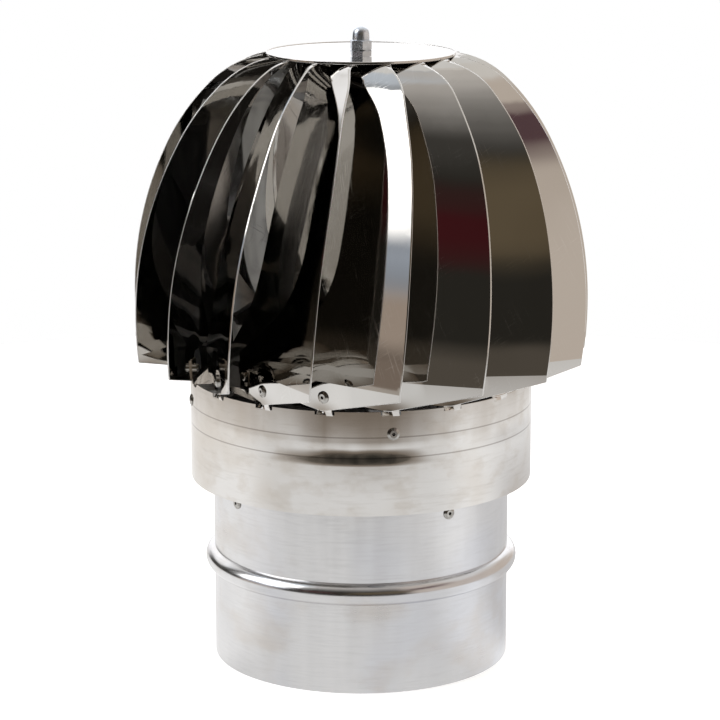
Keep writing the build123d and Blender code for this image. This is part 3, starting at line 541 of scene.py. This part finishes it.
class Shape(Tree):
    """Makes the nodes of one geometry tree."""

    def __init__(self, name, sizes):
        self.tree = bpy.data.node_groups.new(name, "GeometryNodeTree")
        face = self.tree.interface
        face.new_socket("Geometry", in_out="INPUT", socket_type="NodeSocketGeometry")
        self.names = {
            size: face.new_socket(size, in_out="INPUT", socket_type="NodeSocket" + kind).identifier
            for size, kind in sizes.items()
        }
        face.new_socket("Geometry", in_out="OUTPUT", socket_type="NodeSocketGeometry")
        self.entry = self.tree.nodes.new("NodeGroupInput")

    def given(self, name):
        return Value(self, self.entry.outputs[name])

    def repeat_and_close(self, thing, finish):
        """Set the thing round the axis, Count times from First Turn in steps of Step, and end the tree."""
        places = self.node("GeometryNodeMeshLine", {}, {"Count": self.given("Count"), "Offset": (0, 0, 0)})
        number = self.node("GeometryNodeInputIndex", {}, {})
        turn = number * self.given("Step") + self.given("First Turn")
        turned = self.node("ShaderNodeCombineXYZ", {}, {"Z": turn * (math.pi / 180)})
        placed = self.node(
            "GeometryNodeInstanceOnPoints", {}, {"Points": places, "Instance": thing, "Rotation": turned}
        )
        real = self.node("GeometryNodeRealizeInstances", {}, {"Geometry": placed})
        dressed = self.node("GeometryNodeSetMaterial", {}, {"Geometry": real, "Material": finish})
        self.node("NodeGroupOutput", {}, {"Geometry": dressed})


RING_SIZES = {"Count": "Int", "First Turn": "Float", "Step": "Float"}


def grow(name, start_mesh, shape, sizes):
    """Run a geometry tree on a mesh once and keep the result as a plain piece."""
    start = bpy.data.objects.new(name + "_start", start_mesh)
    scene.collection.objects.link(start)
    modifier = start.modifiers.new("grow", "NODES")
    modifier.node_group = shape.tree
    for size, value in sizes.items():
        modifier[shape.names[size]] = value
    mesh = bpy.data.meshes.new_from_object(start.evaluated_get(bpy.context.evaluated_depsgraph_get()))
    bpy.data.objects.remove(start)
    mesh.name = name
    piece = bpy.data.objects.new(name, mesh)
    scene.collection.objects.link(piece)
    print(name, "has", len(mesh.polygons), "faces")
    return piece


# %% [markdown]
# A vane's cut edges are rolled over by the shears and then deburred, so each is a fine bright line,
# even where the mirror beside it is black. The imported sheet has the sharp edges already, so the tree
# finds them by their angle, keeps those on the outer side of the rivet, and runs a bead along them.
# The bead sinks into the sheet by its own radius, so the head grows no wider. The same tree runs
# once round the top disc.

# %% Cut edges of the vanes
EDGE_BEAD = 0.00030
DISC_BEAD = 0.00045
EDGE_STARTS_ACROSS = 0.0520     # just outside the rivet's hole
ALL_OF_IT = -1.0                # a start across that leaves nothing out
SHARP = 1.0                     # radians
WELD = 0.00001                  # corners nearer than this are one corner
BEAD_SIDES = 6

edge_finish = plain_metal("deburred_edge", (0.95, 0.94, 0.93), (0.88, 0.87, 0.86), 0.38, 500.0)

cut_edges = Shape("cut_edges", {**RING_SIZES, "Bead": "Float", "Starts Across": "Float"})
sheet = cut_edges.node(
    "GeometryNodeMergeByDistance", {}, {"Geometry": cut_edges.given("Geometry"), "Distance": WELD}
)
place = cut_edges.node("GeometryNodeInputPosition", {}, {})
own = cut_edges.node(
    "ShaderNodeVectorRotate",
    {"rotation_type": "Z_AXIS"},
    {"Vector": place, "Angle": math.radians(90.0 - FIRST_VANE_FACES)},
)
_, across, _ = cut_edges.parts_of(own)
bend = cut_edges.node("GeometryNodeInputMeshEdgeAngle", {}, {})
is_outer = across.math("GREATER_THAN", cut_edges.given("Starts Across"))
is_outer_cut = bend.math("GREATER_THAN", SHARP) * is_outer
path = cut_edges.node("GeometryNodeMeshToCurve", {}, {"Mesh": sheet, "Selection": is_outer_cut})
level = cut_edges.node("ShaderNodeVectorMath", {"operation": "MULTIPLY"}, {0: place, 1: (1, 1, 0)})
outwards = cut_edges.node("ShaderNodeVectorMath", {"operation": "NORMALIZE"}, {0: level})
sunk = cut_edges.node(
    "ShaderNodeVectorMath", {"operation": "SCALE"}, {0: outwards, "Scale": cut_edges.given("Bead") * -1.0}
)
path = cut_edges.node("GeometryNodeSetPosition", {}, {"Geometry": path, "Offset": sunk})
section = cut_edges.node(
    "GeometryNodeCurvePrimitiveCircle", {}, {"Resolution": BEAD_SIDES, "Radius": cut_edges.given("Bead")}
)
bead = cut_edges.node(
    "GeometryNodeCurveToMesh", {}, {"Curve": path, "Profile Curve": section, "Fill Caps": True}
)
cut_edges.repeat_and_close(bead, edge_finish)

vane_edges = grow(
    "vane_cut_edges",
    nodes[vane_names[0]].data,
    cut_edges,
    {"Count": len(vane_names), "First Turn": 0.0, "Step": pitch, "Bead": EDGE_BEAD,
     "Starts Across": EDGE_STARTS_ACROSS},
)
disc_edge = grow(
    "disc_cut_edge",
    nodes["top_disc"].data,
    cut_edges,
    {"Count": 1, "First Turn": 0.0, "Step": 0.0, "Bead": DISC_BEAD, "Starts Across": ALL_OF_IT},
)
for piece in (vane_edges, disc_edge):
    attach(piece, "rotor")

# %% [markdown]
# A blind rivet is set by pulling a mandrel through it until the mandrel snaps. What stays behind is
# a stem with a torn tip, down in the bore of the bright head; the stem is real, and its near-black
# colour is painted shade of the bore. The stem is a small turned shape, and the heads already say where
# each one goes: on a ring of vanes or on a ring of bracket arms.

# %% Mandrel stems
STEM_PROFILE = (            # along the stem from the top of the rivet's head, and radius
    (-0.00235, 0.00096),
    (-0.00125, 0.00096),
    (-0.00112, 0.00070),
    (-0.00085, 0.00042),
)
STEM_SIDES = 12
ARMS = 4                    # of the bracket and of the spider
# the stems' near-black colour is painted shade of the rivet bores
stem_steel_painted_shade = plain_metal("broken_stem_painted_shade", (0.16, 0.15, 0.14), (0.09, 0.085, 0.08), 0.42, 900.0)


def stem_mesh(name, head_top, lean):
    """One stem whose rivet's head has its top at (out, across, up), leaning downwards by some degrees."""
    down, out = math.sin(math.radians(lean)), math.cos(math.radians(lean))
    points = []
    for along, radius in STEM_PROFILE:
        for side in range(STEM_SIDES):
            turn = 2 * math.pi * side / STEM_SIDES
            flat, high = radius * math.cos(turn), radius * math.sin(turn)
            points.append((
                head_top[0] + along * out + high * down,
                head_top[1] + flat,
                head_top[2] - along * down + high * out,
            ))
    inner_end = list(range(STEM_SIDES - 1, -1, -1))
    outer_end = [len(points) - STEM_SIDES + side for side in range(STEM_SIDES)]
    faces = [inner_end, outer_end]
    for ring in range(len(STEM_PROFILE) - 1):
        for side in range(STEM_SIDES):
            here, there = ring * STEM_SIDES + side, ring * STEM_SIDES + (side + 1) % STEM_SIDES
            faces.append([here, there, there + STEM_SIDES, here + STEM_SIDES])
    mesh = bpy.data.meshes.new(name)
    mesh.from_pydata(points, [], faces)
    return mesh


stems = Shape("stems", RING_SIZES)
stems.repeat_and_close(stems.given("Geometry"), stem_steel_painted_shade)

# Each set of rivets: its body, where the top of a head is, how far it leans, how many there are and
# at how many degrees from the front they start
STEM_SETS = (
    ("vane_rivet_stems", "rotor", (0.10460, 0.04962, 0.20131), 3.0, len(vane_names), FIRST_VANE_FACES),
    ("spider_rivet_stems", "rotor", (0.11540, 0.0, 0.17730), 0.0, ARMS, 10.3),
    ("bracket_rivet_stems", "base", (0.10030, 0.0, 0.11650), 0.0, ARMS, 35.0),
)
for name, body, head_top, lean, count, first in STEM_SETS:
    ring = {"Count": count, "First Turn": first - 90.0, "Step": 360.0 / count}
    piece = grow(name, stem_mesh(name + "_one", head_top, lean), stems, ring)
    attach(piece, body)

# %% [markdown]
# Last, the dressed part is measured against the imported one. Nothing here may make it larger.

# %% Close
end_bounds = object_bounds()
grown = [round((after - before) * 1000, 3) for before, after in zip(start_bounds[1], end_bounds[1])]
print("grew by", grown, "mm at the top corner")
